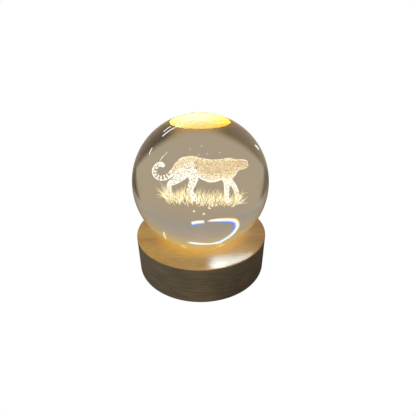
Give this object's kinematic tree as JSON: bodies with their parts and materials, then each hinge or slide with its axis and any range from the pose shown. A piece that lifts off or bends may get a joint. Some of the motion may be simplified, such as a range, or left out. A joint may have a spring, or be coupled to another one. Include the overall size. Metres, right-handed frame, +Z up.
{
  "type": "crystal ball lamp",
  "caption": "Solid glass ball with an internal engraving, resting in the lit seat of a round wooden base with a power socket at the back.",
  "frame": {"origin": "on the table, under the middle of the lamp, at the foot of its pads", "axes": "+Z up along the ball's and the base's common axis; -Y towards the front, from where the engraved figure is seen side on; +Y towards the power socket"},
  "size_m": [0.082, 0.082, 0.0976],
  "materials": {
    "crystal": "clear polished optical glass, laser engraved inside",
    "natural_wood": "light natural wood on top, under a thin satin lacquer",
    "stained_wood": "dark stained side with a faint lying grain, satin",
    "engraving": "fine pale dots inside the glass, matte",
    "white_board": "white solder mask, satin",
    "green_board": "green solder mask, satin",
    "light_package": "white package with a warm yellow phosphor",
    "chip_ceramic": "black ceramic chip with bright soldered ends",
    "screw_steel": "zinc plated, fine turned",
    "socket_steel": "bright pressed stainless steel",
    "socket_plastic": "moulded, matte",
    "red_sleeve": "soft silicone sleeve, satin",
    "black_sleeve": "soft silicone sleeve, satin",
    "cover_plastic": "fine moulded grain, matte",
    "pad_rubber": "foamed, matte"
  },
  "bodies": {
    "base": {"wooden_base": "natural_wood", "led_board": "white_board", "led_1": "light_package", "led_2": "light_package", "led_3": "light_package", "led_4": "light_package", "led_5": "light_package", "led_6": "light_package", "resistor_1": "chip_ceramic", "resistor_2": "chip_ceramic", "resistor_3": "chip_ceramic", "board_screw_1": "screw_steel", "board_screw_2": "screw_steel", "board_screw_3": "screw_steel", "socket_shell": "socket_steel", "socket_tongue": "socket_plastic", "socket_board": "green_board", "sense_resistor_1": "chip_ceramic", "sense_resistor_2": "chip_ceramic", "socket_screw_1": "screw_steel", "socket_screw_2": "screw_steel", "red_lead": "red_sleeve", "black_lead": "black_sleeve", "bottom_cover": "cover_plastic", "cover_screw_1": "screw_steel", "cover_screw_2": "screw_steel", "cover_screw_3": "screw_steel", "cover_screw_4": "screw_steel", "foot_pad_1": "pad_rubber", "foot_pad_2": "pad_rubber", "foot_pad_3": "pad_rubber", "foot_pad_4": "pad_rubber"},
    "ball": {"crystal_ball": "crystal"}
  },
  "joints": [
    {"name": "ball_lift", "type": "slide", "parent": "base", "child": "ball", "axis": [0, 0, 1], "range_m": [0, 0.06]}
  ]
}
